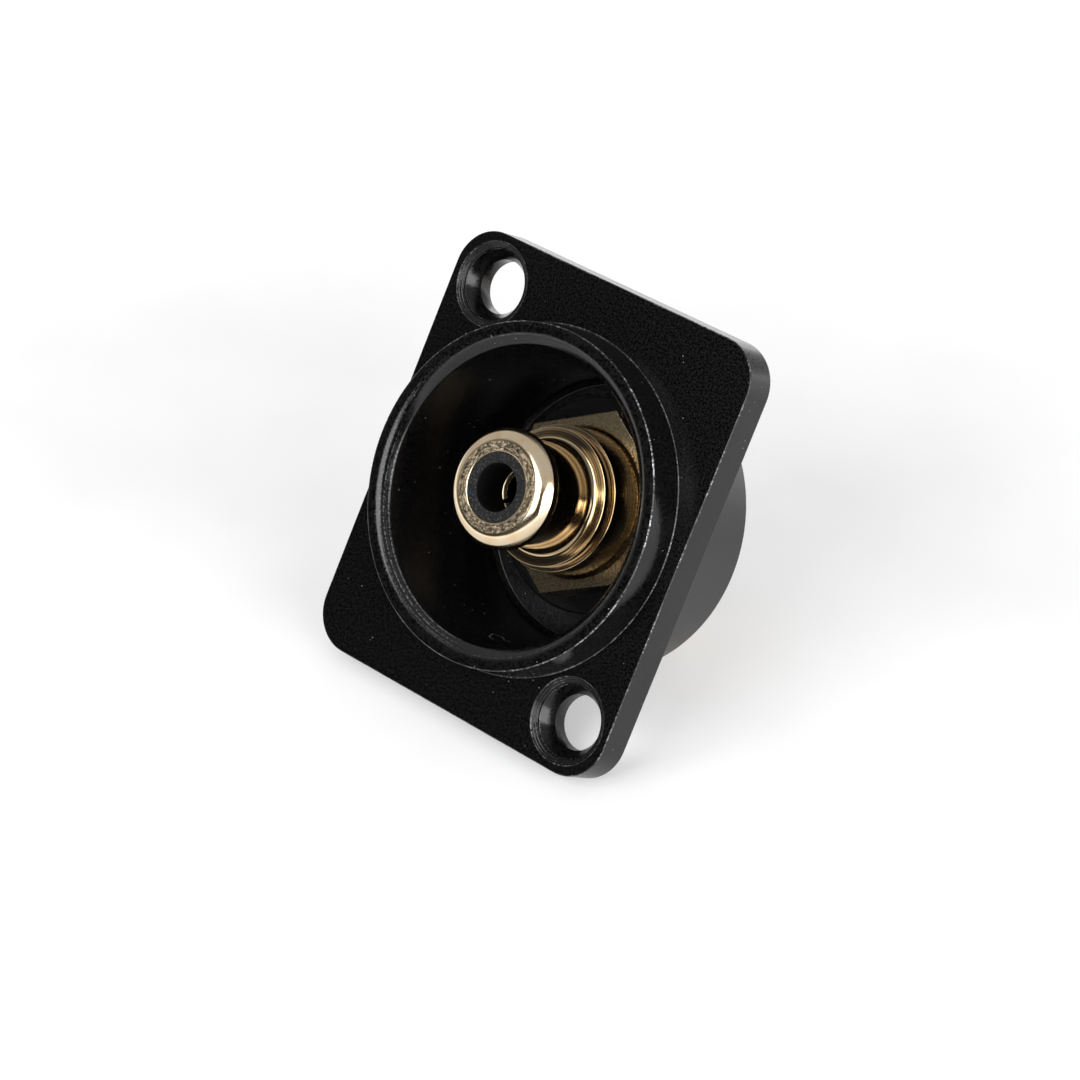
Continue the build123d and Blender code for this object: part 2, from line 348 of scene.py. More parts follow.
housingLow, housingHigh = nodeBox("housing")
shellLow, shellHigh = nodeBox("socket_shell")
insulatorLow, insulatorHigh = nodeBox("front_insulator")
bushLow, bushHigh = nodeBox("rear_insulator")
contactLow, contactHigh = nodeBox("centre_contact")
frontWasherLow, frontWasherHigh = nodeBox("front_shoulder_washer")
rearWasherLow, rearWasherHigh = nodeBox("rear_shoulder_washer")
lockLow, lockHigh = nodeBox("lock_washer")
nutLow, nutHigh = nodeBox("hex_nut")
tagLow = nodeBox("solder_tag")[0]
socketRise = (shellLow.z + shellHigh.z) / 2     # the socket sits a little above the cup's axis
barrelBore = 4.77                               # what slips over the barrel is bored to this radius


# housing: flange plate, raised rim, tapered cup

housing = {
    "flangeThickness": 2.46,
    "cornerRadius": 3.0,
    "rimWall": 1.57,          # at the front
    "rimTaper": 0.21,         # how much wider the rim is at its foot
    "rimEdgeRound": 0.09,
    "mouthRadius": 10.16,
    "mouthChamfer": (0.66, 0.58),
    "chamferRounds": (0.4, 0.9),    # at its inner and outer edge
    "boreFloorRadius": 9.22,
    "boreFloorChamfer": (0.33, 0.3),
    "cupStep": 0.09,          # the cup behind the flange is this much slimmer than the rim's foot
    "cupRearRadius": 10.8,
    "cupRearChamfer": 0.4,
    "floorThickness": 1.91,
    "floorHoleRadius": 5.62,
    "holeEdge": 3.5,          # from a hole's middle to the two nearest sides
    "holeRadius": 1.88,
    "countersinkRadius": 2.93,
    "countersinkDepth": 1.32,
    "turnedSteps": 3,
    "stepWidth": 0.15,
    "stepDepth": 0.12,
    "stepRound": 0.04,
    "edgeRound": 0.07,
}


def makeHousing(v):
    flangeFront = -v["flangeThickness"]
    rimFront, cupBack = housingLow.y, housingHigh.y
    floorFront = cupBack - v["floorThickness"]
    rimRadius = v["mouthRadius"] + v["rimWall"]
    footRadius = rimRadius + v["rimTaper"]

    deselectAll()
    bpy.ops.mesh.primitive_plane_add(
        size=2 * mm, location=(0, flangeFront * mm, 0), rotation=(math.pi / 2, 0, 0))
    piece = nameActive("housing_body")
    piece.scale = (housingHigh.x, housingHigh.z, 1)
    applyPlace()
    bpy.ops.object.mode_set(mode="EDIT")
    bpy.ops.mesh.select_all(action="SELECT")
    bpy.ops.mesh.bevel(offset=v["cornerRadius"] * mm, segments=16, affect="VERTICES", clamp_overlap=False)
    bpy.ops.mesh.select_all(action="SELECT")
    bpy.ops.mesh.extrude_region_move(TRANSFORM_OT_translate={"value": (0, v["flangeThickness"] * mm, 0)})
    faceOutwards()
    bpy.ops.object.mode_set(mode="OBJECT")

    # the flange is opened inside the rim's wall, and rim and cup are turned as one ring around that
    inWall = (v["mouthRadius"] + footRadius) / 2
    opening = turnPiece("opening", [
        (0, flangeFront - past), (inWall, flangeFront - past), (inWall, past), (0, past)])
    combine(piece, opening, "DIFFERENCE")

    rimSlope = v["rimTaper"] / (flangeFront - rimFront)
    cupSlope = (footRadius - v["cupStep"] - v["cupRearRadius"]) / cupBack
    insidePlate = flangeFront / 2
    stepBack = insidePlate + 0.1
    chamferWidth, chamferDepth = v["mouthChamfer"]
    innerRound, outerRound = v["chamferRounds"]
    floorWidth, floorDepth = v["boreFloorChamfer"]
    rearChamfer = v["cupRearChamfer"]
    outline = [
        (rimRadius, rimFront, v["rimEdgeRound"]),
        (footRadius + rimSlope * (insidePlate - flangeFront), insidePlate, 0),
        (footRadius - v["cupStep"] - cupSlope * stepBack, stepBack, 0),
        (v["cupRearRadius"] + cupSlope * rearChamfer, cupBack - rearChamfer, 0.15),
        (v["cupRearRadius"] - rearChamfer, cupBack, 0.1),
        (0, cupBack),
        (0, floorFront),
        (v["boreFloorRadius"] - floorWidth, floorFront, 0.1),
        (v["boreFloorRadius"], floorFront - floorDepth, 0.1),
        (v["mouthRadius"], rimFront + chamferDepth, innerRound),
        (v["mouthRadius"] + chamferWidth, rimFront, outerRound),
    ]
    cup = turnPiece("cup", softened(outline, 0.05, 4), steps=288)
    combine(piece, cup, "UNION")

    holeRadius = v["floorHoleRadius"]
    floorHole = turnPiece("floorHole", [
        (0, floorFront - past), (holeRadius, floorFront - past),
        (holeRadius, cupBack + past), (0, cupBack + past)], socketRise, steps=128)
    combine(piece, floorHole, "DIFFERENCE")

    radius = v["countersinkRadius"]
    stepRound = v["stepRound"]
    sink = [(0, flangeFront - past), (radius, flangeFront - past)]
    for step in range(1, v["turnedSteps"] + 1):
        depth = flangeFront + step * v["stepDepth"]
        sink += [(radius, depth, stepRound), (radius - v["stepWidth"], depth, stepRound)]
        radius -= v["stepWidth"]
    holeLand = flangeFront + v["countersinkDepth"]
    sink += [(v["holeRadius"], holeLand, stepRound), (v["holeRadius"], past), (0, past)]
    across = housingHigh.x - v["holeEdge"]
    up = housingHigh.z - v["holeEdge"]
    for side in (-1, 1):
        cutter = turnPiece("sink", softened(sink, 0, 2), -side * up, steps=128, axisX=side * across)
        combine(piece, cutter, "DIFFERENCE")
    softenEdges(piece, v["edgeRound"], 3)
    return finishPiece(piece)


# socket shell: head, neck, collar and hexagon from one bar, with a threaded barrel behind

shell = {
    "mouthRadius": 2.4,
    "lipLength": 1.2,
    "boreRadius": 3.1,
    "faceRadius": 3.06,       # the flat ring around the insulator
    "headRadius": 4.05,
    "headArc": (-86, -34),    # the roll of the front, in degrees of its circle
    "headLand": (4.09, 0.85, 0.5),    # widest radius, how far it is behind the front, length
    "landRound": 0.1,
    "neckFront": 1.9,
    "neckRadius": 3.66,
    "neckFillet": 0.5,
    "collarFront": 5.81,
    "faceSlope": 0.02,
    "ringRadius": 4.77,
    "ringLength": 0.66,
    "groove": (0.14, 0.15),   # width and depth
    "collarRadius": 5.04,
    "collarEdge": 0.05,
    "collarFlare": (0.23, 0.25),    # how much wider the collar's foot is, and over what length
    "hexFront": 9.5,
    "hexThickness": 1.6,
    "hexFlats": 11.86,
    "hexTurn": 28.95,
    "hexRecess": (5.3, 0.08),    # radius and depth of the turned face around the collar
    "hexBore": 3.6,           # the collar's bar fills this
    "barrelRadius": 4.72,
    "barrelLand": 0.8,        # plain barrel behind the hexagon
    "threadRunOut": 0.3,
    "barrelEnd": (0.3, 0.35),    # width and length of the chamfer at the barrel's end
    "threadPitch": 0.75,
    "threadDepth": 0.34,
    "edgeRound": 0.06,
}


def addThread(name, radius, depth, pitch, front, back, axisHeight, steps=64):
    # a ridge wound round the barrel with the screw modifier, its foot sunk in the core
    foot = radius - depth - 0.05
    # radius, and place along the axis as a share of the pitch
    section = [(foot, 0.08), (radius, 0.42), (radius, 0.58), (foot, 0.92), (foot, 0.08)]
    piece = startVertex(name, (section[0][0] * mm, 0, section[0][1] * pitch * mm))
    for last, point in zip(section, section[1:]):
        move = ((point[0] - last[0]) * mm, 0, (point[1] - last[1]) * pitch * mm)
        bpy.ops.mesh.extrude_vertices_move(TRANSFORM_OT_translate={"value": move})
    mergeDoubles()
    bpy.ops.object.mode_set(mode="OBJECT")
    applyPlace()
    turns = int((back - front) / pitch) - 1
    applyModifier(piece, "SCREW", {
        "screw_offset": pitch * mm, "iterations": turns, "steps": steps, "render_steps": steps})
    bpy.ops.object.mode_set(mode="EDIT")
    mergeDoubles()
    bpy.ops.mesh.select_all(action="SELECT")
    bpy.ops.mesh.fill_holes(sides=0)
    faceOutwards()
    bpy.ops.object.mode_set(mode="OBJECT")
    piece.rotation_euler = (-math.pi / 2, 0, 0)
    piece.location = (0, front * mm, axisHeight * mm)
    applyPlace()
    return piece


def makeShell(v):
    front, barrelEnd = shellLow.y, shellHigh.y
    collarFront = front + v["collarFront"]
    filletStart = collarFront - v["faceSlope"] - v["neckFillet"]
    ringEnd = collarFront + v["ringLength"]
    grooveWidth, grooveDepth = v["groove"]
    hexFront = front + v["hexFront"]
    hexBack = hexFront + v["hexThickness"]
    recessRadius, recessDepth = v["hexRecess"]
    recessFloor = hexFront + recessDepth
    flareWidth, flareLength = v["collarFlare"]
    threadRoot = v["barrelRadius"] - v["threadDepth"]
    threadFront = hexBack + v["barrelLand"] + v["threadRunOut"]
    endWidth, endLength = v["barrelEnd"]
    threadBack = barrelEnd - endLength
    roll = v["headRadius"] - v["faceRadius"]
    rollStart, rollEnd = v["headArc"]
    landRadius, landStart, landLength = v["headLand"]
    landRound = v["landRound"]
    headFront = arcPoints((v["faceRadius"], front + roll), roll, rollStart, rollEnd, 16)
    headFront += arcPoints((landRadius - landRound, front + landStart), landRound, -27, 0, 4)
    fillet = arcPoints((v["neckRadius"] + v["neckFillet"], filletStart), v["neckFillet"], 180, 90, 10)
    outline = [
        (v["mouthRadius"], front + v["lipLength"]),
        (v["mouthRadius"], front, 0.04),
        (v["faceRadius"], front, 0.02),
    ]
    outline += headFront
    outline += [
        (landRadius, front + landStart + landLength, 0.04),
        (v["neckRadius"], front + v["neckFront"], 0.1),
    ]
    outline += fillet
    outline += [
        (v["ringRadius"], collarFront, 0.06),
        (v["ringRadius"], ringEnd, 0.03),
        (v["ringRadius"] - grooveDepth, ringEnd, 0.03),
        (v["ringRadius"] - grooveDepth, ringEnd + grooveWidth, 0.03),
        (v["collarRadius"], ringEnd + grooveWidth, v["collarEdge"]),
        (v["collarRadius"], recessFloor - flareLength, 0.1),
        (v["collarRadius"] + flareWidth, recessFloor - 0.02, 0.05),
        (v["collarRadius"] + flareWidth - 0.03, recessFloor + 0.4),
        (v["barrelRadius"], recessFloor + 0.4),
        (v["barrelRadius"], hexBack + v["barrelLand"], 0.1),
        (threadRoot, threadFront, 0.1),
        (threadRoot, threadBack, 0.05),
        (threadRoot - endWidth, barrelEnd, 0.05),
        (v["boreRadius"], barrelEnd, 0.08),
        (v["boreRadius"], front + v["lipLength"]),
    ]
    body = turnPiece("socket_shell_body", softened(outline, 0.02, 4), socketRise, steps=256)
    hexagon = addHexagon("hexagon", v["hexFlats"], hexFront, v["hexThickness"], v["hexTurn"], socketRise)
    softenEdges(hexagon, v["edgeRound"], 3)
    recessOutline = [
        (0, hexFront - past),
        (recessRadius + 0.03, hexFront - past),
        (recessRadius + 0.03, hexFront, 0.02),
        (recessRadius, hexFront + 0.03, 0.02),
        (recessRadius, recessFloor, 0.02),
        (v["hexBore"], recessFloor, 0.02),
        (v["hexBore"], hexBack + past, 0.02),
        (0, hexBack + past),
    ]
    recess = turnPiece("recess", softened(recessOutline, 0, 3), socketRise, steps=256)
    combine(hexagon, recess, "DIFFERENCE")
    combine(body, hexagon, "UNION")
    thread = addThread(
        "thread", v["barrelRadius"], v["threadDepth"], v["threadPitch"],
        threadFront, threadBack, socketRise)
    combine(body, thread, "UNION")
    return finishPiece(body, 28)


# front insulator: charcoal ring around the pin hole

insulator = {
    "holeRadius": 1.63,
    "noseRadius": 2.385,
    "noseLength": 1.17,
    "bodyRadius": 3.05,
    "collarSeat": (2.75, 7.1),     # radius, and place behind the contact's front
    "contactBore": (2.0, 0.05),    # radius, and the gap before the contact's front
    "edgeRound": 0.1,
}


def makeFrontInsulator(v):
    front, back = insulatorLow.y, insulatorHigh.y
    shoulder = front + v["noseLength"]
    seatRadius, seatPlace = v["collarSeat"]
    boreRadius, boreGap = v["contactBore"]
    seat = contactLow.y + seatPlace
    boreFront = contactLow.y - boreGap
    outline = [
        (v["holeRadius"], front, v["edgeRound"]),
        (v["noseRadius"], front, 0.04),
        (v["noseRadius"], shoulder),
        (v["bodyRadius"], shoulder, 0.1),
        (v["bodyRadius"], back),
        (seatRadius, back),
        (seatRadius, seat),
        (boreRadius, seat),
        (boreRadius, boreFront),
        (v["holeRadius"], boreFront, 0.03),
    ]
    return finishPiece(turnPiece(
        "front_insulator_ring", softened(outline, 0.02, 5), socketRise, steps=160))


# rear insulator: a bush that shuts the barrel behind

bush = {
    "bodyRadius": 3.05,
    "contactBore": 2.0,
    "boreEnd": 12.45,         # behind the contact's front
    "flangeRadius": 4.2,
    "flangeLength": 0.8,
    "dish": (2.1, 0.22),      # radius and depth of the hollow around the tail
    "tailHole": 1.3,
    "tailCone": (0.35, 0.12),    # width and height of the raised cone around the tail's hole
    "edgeRound": 0.14,
}


def makeRearInsulator(v):
    back = bushHigh.y
    flangeFront = back - v["flangeLength"]
    boreEnd = contactLow.y + v["boreEnd"]
    dishRadius, dishDepth = v["dish"]
    coneWidth, coneLength = v["tailCone"]
    outline = [
        (v["contactBore"], bushLow.y),
        (v["bodyRadius"], bushLow.y, 0.05),
        (v["bodyRadius"], flangeFront),
        (v["flangeRadius"], flangeFront, 0.05),
        (v["flangeRadius"], back, v["edgeRound"]),
        (dishRadius + 0.2, back, 0.05),
        (dishRadius, back - dishDepth, 0.08),
        (v["tailHole"] + coneWidth, back - dishDepth, 0.05),
        (v["tailHole"], back - dishDepth + coneLength, 0.05),
        (v["tailHole"], boreEnd),
        (v["contactBore"], boreEnd),
    ]
    return finishPiece(turnPiece(
        "rear_insulator_bush", softened(outline, 0.02, 4), socketRise, steps=128))


# centre contact: slotted tube inside, solder cup behind

contact = {
    "radius": 1.95,
    "boreRadius": 1.6,
    "boreEndRound": 0.4,
    "mouthRadius": 1.42,      # the fingers are nipped in here
    "mouthLength": 0.6,
    "mouthLip": 0.2,
    "bodyLength": 12.4,
    "slotWidth": 0.3,
    "slotLength": 7.0,
    "slotTurn": 45,
    "collar": (2.7, 7.1, 8.1),    # radius, front and back, measured from the contact's front
    "tailRadius": 1.25,
    "cupRadius": 0.8,
    "cupDepth": 3.2,
    "cupOpening": 2.4,
    "edgeRound": 0.03,
}


def makeContact(v):
    front, back = contactLow.y, contactHigh.y
    collarRadius, collarFront, collarBack = v["collar"]
    bodyBack = front + v["bodyLength"]
    boreEnd = bodyBack - v["boreRadius"]
    outline = [
        (v["mouthRadius"], front + v["mouthLip"], 0.1),
        (v["mouthRadius"] + v["mouthLip"], front, 0.12),
        (v["radius"], front, 0.06),
        (v["radius"], front + collarFront),
        (collarRadius, front + collarFront, 0.05),
        (collarRadius, front + collarBack, 0.05),
        (v["radius"], front + collarBack),
        (v["radius"], bodyBack, 0.1),
        (v["tailRadius"], bodyBack + 0.05, 0.05),
        (v["tailRadius"], back, 0.1),
        (v["cupRadius"], back, 0.08),
        (v["cupRadius"], back - v["cupDepth"], 0.3),
        (0, back - v["cupDepth"]),
        (0, boreEnd),
        (v["boreRadius"], boreEnd, v["boreEndRound"]),
        (v["boreRadius"], front + v["mouthLength"] + 0.15, 0.1),
        (v["mouthRadius"], front + v["mouthLength"], 0.1),
    ]
    piece = turnPiece("centre_contact_tube", softened(outline, 0.02, 4), socketRise, steps=128)
    half = v["slotWidth"] / 2
    slotBack = front + v["slotLength"]
    reach = collarRadius + past
    for turn in (v["slotTurn"], v["slotTurn"] + 90):
        slot = addBlock("slot", (-reach, front - past, -half), (reach, slotBack, half))
        slot.rotation_euler = (0, -math.radians(turn), 0)
        slot.location = (0, 0, socketRise * mm)
        applyPlace()
        combine(piece, slot, "DIFFERENCE")
    # the solder cup is open on its lower side
    opening = addBlock("opening", (-reach, back - v["cupOpening"], socketRise - reach),
                       (reach, back + past, socketRise))
    combine(piece, opening, "DIFFERENCE")
    softenEdges(piece, v["edgeRound"], angle=50)
    return finishPiece(piece)


# insulating shoulder washers on both sides of the cup's floor

washer = {
    "radius": 7.5,
    "boreRadius": barrelBore,
    "shoulderRadius": 5.57,
    "shoulderLength": 0.85,
    "edgeRound": 0.22,
}


def makeWasher(name, low, high, inwards, v):
    # the disc lies against the floor and its shoulder reaches into the hole; inwards is +1 or -1
    outer, end = (low.y, high.y) if inwards > 0 else (high.y, low.y)
    seat = end - inwards * v["shoulderLength"]
    outline = [
        (v["boreRadius"], outer, 0.1),
        (v["radius"], outer, v["edgeRound"]),
        (v["radius"], seat, 0.05),
        (v["shoulderRadius"], seat),
        (v["shoulderRadius"], end, 0.05),
        (v["boreRadius"], end, 0.05),
    ]
    return finishPiece(turnPiece(name, softened(outline, 0.02, 5), socketRise, steps=192))


# solder tag: flat ring with one bent tail

tag = {
    "thickness": 0.5,
    "ringRadius": 6.7,
    "boreRadius": barrelBore,
    "width": 3.2,
    "tailOverlap": 0.6,       # the tail starts this far outside the bore
    "flatReach": 9.6,
    "bendRadius": 0.6,
    "bendAngle": 55,
    "tailLength": 3.6,
    "eyeRadius": 0.75,
    "turn": 118,
    "edgeRound": 0.05,
}


def makeTag(v):
    front, back = tagLow.y, tagLow.y + v["thickness"]
    half = v["width"] / 2
    bend = math.radians(v["bendAngle"])
    near = 0.01    # for picking faces and edges by their place
    ring = turnPiece("solder_tag_plate", [
        (v["boreRadius"], front), (v["ringRadius"], front),
        (v["ringRadius"], back), (v["boreRadius"], back)], steps=160)
    # the tail is drawn out along +X: a block, its end face spun through the bend and pulled straight
    root = v["boreRadius"] + v["tailOverlap"]
    tail = addBlock("tail", (root, front, -half), (v["flatReach"], back, half))
    selectWhere(tail, lambda middle, corners: middle.x > v["flatReach"] - near)
    pivotY = back + v["bendRadius"]
    bpy.ops.mesh.spin(steps=12, angle=-bend, center=(v["flatReach"] * mm, pivotY * mm, 0), axis=(0, 0, 1))
    run = v["tailLength"] * mm
    move = (run * math.cos(bend), run * math.sin(bend), 0)
    bpy.ops.mesh.extrude_region_move(TRANSFORM_OT_translate={"value": move})
    mergeDoubles()
    faceOutwards()
    bpy.ops.object.mode_set(mode="OBJECT")
    furthest = max(corner.co.x for corner in tail.data.vertices) / mm
    cornerGap = v["thickness"] * math.sin(bend) + near

    def onTailCorner(middle, corners):
        return abs(middle.z) > half - near and min(c.x for c in corners) > furthest - cornerGap

    selectWhere(tail, onTailCorner, "EDGE")
    bpy.ops.mesh.bevel(offset=(half - 0.05) * mm, segments=12, affect="EDGES", clamp_overlap=False)
    bpy.ops.object.mode_set(mode="OBJECT")
    combine(ring, tail, "UNION")
    midBend = v["bendRadius"] + v["thickness"] / 2
    along = v["tailLength"] - half
    eyeMiddle = (
        v["flatReach"] + midBend * math.sin(bend) + along * math.cos(bend),
        pivotY - midBend * math.cos(bend) + along * math.sin(bend), 0)
    deselectAll()
    bpy.ops.mesh.primitive_cylinder_add(
        vertices=48, radius=v["eyeRadius"] * mm, depth=3 * v["thickness"] * mm,
        location=Vector(eyeMiddle) * mm, rotation=(math.pi / 2, 0, bend))
    combine(ring, bpy.context.object, "DIFFERENCE")
    softenEdges(ring, v["edgeRound"])
    ring.rotation_euler = (0, -math.radians(v["turn"]), 0)
    ring.location = (0, 0, socketRise * mm)
    return finishPiece(ring)


# lock washer: a band with twisted teeth that reach in to the barrel

lock = {
    "band": 1.0,
    "thickness": 0.5,
    "teeth": 12,
    "toothWidth": 1.3,
    "toothThickness": 0.34,
    "toothOverlap": 0.4,      # how far a tooth reaches into the band
    "twist": 11,
    "edgeRound": 0.05,
}


def makeLockWasher(v):
    middle = (lockLow.y + lockHigh.y) / 2
    outer = lockHigh.x
    inner = outer - v["band"]
    half = v["thickness"] / 2
    band = turnPiece("lock_washer_ring", [
        (inner, middle - half), (outer, middle - half),
        (outer, middle + half), (inner, middle + half)], steps=144)
    # one tooth, twisted about its own length and set at the bore, and copied round
    length = inner + v["toothOverlap"] - barrelBore
    halfThick, halfWide = v["toothThickness"] / 2, v["toothWidth"] / 2
    tooth = addBlock("tooth", (0, -halfThick, -halfWide), (length, halfThick, halfWide))
    tooth.rotation_euler = (math.radians(v["twist"]), 0, 0)
    tooth.location = (barrelBore * mm, middle * mm, 0)
    applyPlace()
    for i in range(v["teeth"]):
        makeActive(tooth)
        bpy.ops.object.duplicate()
        copy = bpy.context.object
        copy.rotation_euler = (0, 2 * math.pi * i / v["teeth"], 0)
        applyPlace()
        combine(band, copy, "UNION")
    removePiece(tooth)
    softenEdges(band, v["edgeRound"])
    band.location = (0, 0, socketRise * mm)
    return finishPiece(band)


# nut

nut = {
    "flats": 12.0,
    "turn": 10,
    "cornerDrop": (0.3, 0.35),    # how far the corners are turned off at the front and at the back
    "frontFace": 0.15,        # how much wider than the flats the front's turned face is
    "boreRadius": 4.76,
    "boreChamfer": 0.4,
    "edgeRound": 0.04,
}


def makeNut(v):
    front, back = nutLow.y, nutHigh.y
    corner = v["flats"] / math.sqrt(3)
    piece = addHexagon("hex_nut_body", v["flats"], front, back - front, v["turn"], socketRise)
    # the corners are turned off in a cone on the outer face and a little less on the inner one
    frontDrop, backDrop = v["cornerDrop"]
    outer = corner + 0.05
    frontFace, backFace = v["flats"] / 2 + v["frontFace"], v["flats"] / 2
    cone = turnPiece("cone", [
        (0, front - past), (backFace, front - past), (frontFace, front),
        (outer, front + frontDrop), (outer, back - backDrop), (backFace, back),
        (backFace, back + past), (0, back + past)], socketRise, steps=160)
    combine(piece, cone, "INTERSECT")
    narrow, chamfer = v["boreRadius"], v["boreChamfer"]
    wide = narrow + chamfer
    bore = turnPiece("bore", [
        (0, front - past), (wide, front - past), (wide, front), (narrow, front + chamfer),
        (narrow, back - chamfer), (wide, back), (wide, back + past), (0, back + past)],
        socketRise, steps=160)
    combine(piece, bore, "DIFFERENCE")
    softenEdges(piece, v["edgeRound"])
    return finishPiece(piece)


# finishes

bumpHeight = 0.02    # mm

blackFinish = {
    "colour": (0.001, 0.001, 0.001, 1),
    "grey": (0.0065, 0.0065, 0.007, 1),
    "bareAndHighlight": (0.55, 0.56, 0.58, 1),
    "dust": (0.3, 0.29, 0.28, 1),
    "roughness": 0.08,
    "gloss": 0.42,
    "grain": 0.06,
    "patchScale": 0.55,       # scales of noise are per mm
    "satinScale": 6.5,
    "nibbleScale": 6,
    "dustScale": 1.5,
    "wear": (0.1, 0.6),       # how bare an edge is everywhere, and what its patches add
    "rimWear": (0.55, 1.1),    # all round the rim, and the painted highlight its right side adds
    # the bright line at the rim's foot: a painted highlight, drawn as bare metal
    "footHighlight": 0.6,
    "mouthWear": 0.5,
    "flangeWear": 0.7,
    "sinkWear": (0.6, 0.3),    # the countersink's outer edge, and its turned steps
    # scuffs on the mouth's chamfer, partly a painted highlight
    "scuffAndHighlight": 0.3,
    "scratchWear": 0.5,
    "scratchHeight": -9.75,
    # (x, y) of the scratch low in the bore
    "scratch": [(0.69, -1.25), (0.15, -1.04), (-0.3, -0.15), (0.28, 0.3), (0.9, -0.26), (1.22, -0.02)],
}


def nearPath(x, y, points, halfWidth):
    # 1 on a line drawn through the points
    nearest = None
    for (startX, startY), (endX, endY) in zip(points, points[1:]):
        runX, runY = endX - startX, endY - startY
        along = ((x - startX) * runX + (y - startY) * runY) / (runX * runX + runY * runY)
        along = along.most(0).least(1)
        offX = x - startX - along * runX
        offY = y - startY - along * runY
        distance = (offX * offX + offY * offY) ** 0.5
        nearest = distance if nearest is None else nearest.least(distance)
    return nearest.between(halfWidth, halfWidth * 0.5)


def makeBlackFinish(v):
    material, inMm, shader = newFinish("blackAnodised")
    x, y, z, radius = splitPlace(inMm)
    flangeFront, rimFront = -housing["flangeThickness"], housingLow.y
    mouthRadius = housing["mouthRadius"]
    rimRadius = mouthRadius + housing["rimWall"]
    footRadius = rimRadius + housing["rimTaper"]
    chamferWidth, chamferDepth = housing["mouthChamfer"]
    corner = housing["cornerRadius"]
    patchy = inMm.noise(v["patchScale"], 3).between(0.42, 0.62)
    satin = inMm.noise(v["satinScale"], 2, 0.7).between(0.4, 0.6)
    nibbled = inMm.noise(v["nibbleScale"], 3, 0.8).between(0.47, 0.57)
    # edges where the black has worn off: rim, flange outline and countersinks; the extra on the rim's
    # right side and the line at the rim's foot are painted highlights, drawn as bare metal
    # the rim's right side gets extra bare metal: a painted highlight
    rimWear, rightHighlight = v["rimWear"]
    rimEdge = radius.line(rimRadius - 0.02, 0.08) * y.between(rimFront + 0.1, rimFront + 0.03)
    rimEdge = rimEdge * (rimWear + rightHighlight * x.between(3, 9))
    # painted highlight: a bare-metal line at the rim's foot
    rimFoot = radius.line(footRadius + 0.02, 0.06) * y.line(flangeFront, 0.06) * v["footHighlight"]
    mouthEdge = radius.line(mouthRadius + chamferWidth, 0.05) * v["mouthWear"]
    mouthEdge = mouthEdge * y.between(rimFront + 0.09, rimFront + 0.02)
    outX = (abs(x) - (housingHigh.x - corner)).most(0)
    outZ = (abs(z) - (housingHigh.z - corner)).most(0)
    outline = (outX * outX + outZ * outZ) ** 0.5
    flangeEdge = outline.between(corner - 0.09, corner - 0.03) * y.line(flangeFront + 0.02, 0.09)
    flangeEdge = flangeEdge * v["flangeWear"]
    across = housingHigh.x - housing["holeEdge"]
    up = housingHigh.z - housing["holeEdge"]
    side = x.node("Math", {"operation": "SIGN"}, {0: x})
    fromHoleX = x - side * across
    fromHoleZ = z + side * up
    holeDistance = (fromHoleX * fromHoleX + fromHoleZ * fromHoleZ) ** 0.5
    stepRadius = housing["countersinkRadius"]
    sinkWear, stepWear = v["sinkWear"]
    sinkEdge = holeDistance.line(stepRadius + 0.02, 0.05) * sinkWear
    for _ in range(housing["turnedSteps"]):
        stepRadius -= housing["stepWidth"]
        sinkEdge = sinkEdge.most(holeDistance.line(stepRadius, 0.035) * stepWear)
    sinkEdge = sinkEdge * y.between(flangeFront + 0.6, flangeFront + 0.4)
    edges = rimEdge.most(rimFoot).most(mouthEdge).most(flangeEdge).most(sinkEdge)
    # the lower left of the mouth's chamfer is scuffed along the turning marks; drawn as bare metal, these
    # are partly real scuffs and partly a painted highlight
    onChamfer = (radius - mouthRadius).line(chamferWidth / 2, chamferWidth * 0.75) * y.between(
        rimFront + chamferDepth + 0.1, rimFront + chamferDepth - 0.1)
    turned = inMm.node("CombineXYZ", None, {0: radius * 9, 1: y * 9})
    streaks = turned.noise(1.4, 3, 0.7).between(0.48, 0.6)
    scuffedAndHighlit = onChamfer * (x + z).between(-9, -12.5) * streaks * nibbled
    inDepth = abs(z - v["scratchHeight"]).between(0.5, 0.3)
    scratch = nearPath(x, y, v["scratch"], 0.05) * inDepth
    wear, patchWear = v["wear"]
    wornAndHighlight = edges * nibbled * (wear + patchWear * patchy)
    wornAndHighlight = wornAndHighlight.most(scuffedAndHighlit * v["scuffAndHighlight"]).most(scratch * v["scratchWear"])
    dust = inMm.dots(v["dustScale"], 0.07) * inMm.noise(0.4, 2).between(0.48, 0.6)
    colour = satin.paint(v["colour"], v["grey"])
    # bare metal for worn edges and scuffs, and for the painted highlights on the rim
    colour = wornAndHighlight.paint(colour, v["bareAndHighlight"])
    colour = dust.paint(colour, v["dust"])
    connect(shader, "Base Color", colour)
    connect(shader, "Metallic", wornAndHighlight * 0.8)
    connect(shader, "Roughness", v["roughness"] + 0.12 * satin + 0.15 * wornAndHighlight + 0.4 * dust)
    setAll(shader, {"Specular IOR Level": v["gloss"]})
    inMouth = radius.between(mouthRadius + 0.1, mouthRadius - 0.1)
    inBore = inMouth * y.between(rimFront + 0.3, rimFront + 0.8)
    grain = 2 * satin + 8 * inBore * inMm.noise(9, 3, 0.7) + 6 * edges * inMm.noise(7, 3, 0.7)
    addBump(shader, grain, v["grain"], bumpHeight)
    return material


